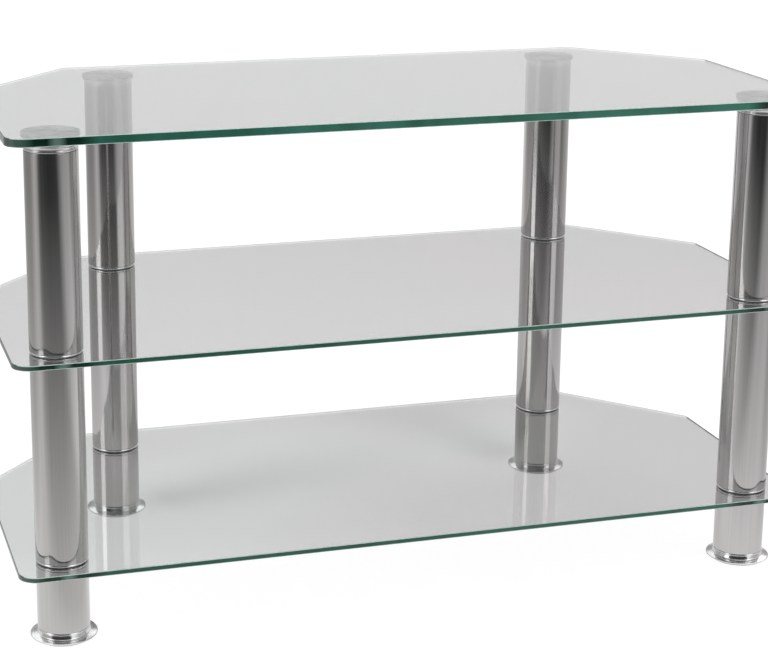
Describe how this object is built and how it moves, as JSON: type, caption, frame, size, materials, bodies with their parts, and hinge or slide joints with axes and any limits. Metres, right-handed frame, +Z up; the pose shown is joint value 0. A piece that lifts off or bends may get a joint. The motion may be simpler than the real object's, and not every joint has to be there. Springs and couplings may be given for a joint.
{
  "type": "glass television stand",
  "caption": "Low free-standing television stand of glass shelves with cut-off rear corners on round polished metal legs, open on all sides.",
  "frame": {"origin": "on the floor under the middle of the stand", "axes": "+X along the width to the right, +Y from the front to the back, +Z up"},
  "size_m": [0.8, 0.38, 0.49],
  "materials": {
    "top_glass": "clear float glass, polished edges with a deep green tint",
    "shelf_glass": "clear float glass, polished edges with a deep green tint",
    "polished_tube": "mirror-polished with faint lines along the tube",
    "bright_ring": "bright turned rim",
    "polished_foot": "bright plated casting",
    "bonded_disc_metal": "turned, seen through the glue and the glass",
    "grommet_nylon": "natural nylon, slightly milky",
    "pad_rubber": "matt",
    "rod_steel": "zinc-plated thread"
  },
  "bodies": {
    "root": {"top_glass": "top_glass", "middle_glass": "shelf_glass", "bottom_glass": "shelf_glass", "front_left_bonded_disc": "bonded_disc_metal", "front_left_top_collar": "bright_ring", "front_left_upper_tube": "polished_tube", "front_left_upper_tube_end_cap": "bright_ring", "front_left_middle_shelf_grommet": "grommet_nylon", "front_left_middle_tube_top_cap": "bright_ring", "front_left_middle_tube": "polished_tube", "front_left_middle_tube_bottom_cap": "bright_ring", "front_left_bottom_shelf_grommet": "grommet_nylon", "front_left_lower_tube_top_cap": "bright_ring", "front_left_lower_tube": "polished_tube", "front_left_foot_flange": "polished_foot", "front_left_foot_pad": "pad_rubber", "front_left_tie_rod": "rod_steel", "front_right_bonded_disc": "bonded_disc_metal", "front_right_top_collar": "bright_ring", "front_right_upper_tube": "polished_tube", "front_right_upper_tube_end_cap": "bright_ring", "front_right_middle_shelf_grommet": "grommet_nylon", "front_right_middle_tube_top_cap": "bright_ring", "front_right_middle_tube": "polished_tube", "front_right_middle_tube_bottom_cap": "bright_ring", "front_right_bottom_shelf_grommet": "grommet_nylon", "front_right_lower_tube_top_cap": "bright_ring", "front_right_lower_tube": "polished_tube", "front_right_foot_flange": "polished_foot", "front_right_foot_pad": "pad_rubber", "front_right_tie_rod": "rod_steel", "rear_left_bonded_disc": "bonded_disc_metal", "rear_left_top_collar": "bright_ring", "rear_left_upper_tube": "polished_tube", "rear_left_upper_tube_end_cap": "bright_ring", "rear_left_middle_shelf_grommet": "grommet_nylon", "rear_left_middle_tube_top_cap": "bright_ring", "rear_left_middle_tube": "polished_tube", "rear_left_middle_tube_bottom_cap": "bright_ring", "rear_left_bottom_shelf_grommet": "grommet_nylon", "rear_left_lower_tube_top_cap": "bright_ring", "rear_left_lower_tube": "polished_tube", "rear_left_foot_flange": "polished_foot", "rear_left_foot_pad": "pad_rubber", "rear_left_tie_rod": "rod_steel", "rear_right_bonded_disc": "bonded_disc_metal", "rear_right_top_collar": "bright_ring", "rear_right_upper_tube": "polished_tube", "rear_right_upper_tube_end_cap": "bright_ring", "rear_right_middle_shelf_grommet": "grommet_nylon", "rear_right_middle_tube_top_cap": "bright_ring", "rear_right_middle_tube": "polished_tube", "rear_right_middle_tube_bottom_cap": "bright_ring", "rear_right_bottom_shelf_grommet": "grommet_nylon", "rear_right_lower_tube_top_cap": "bright_ring", "rear_right_lower_tube": "polished_tube", "rear_right_foot_flange": "polished_foot", "rear_right_foot_pad": "pad_rubber", "rear_right_tie_rod": "rod_steel"}
  },
  "joints": []
}
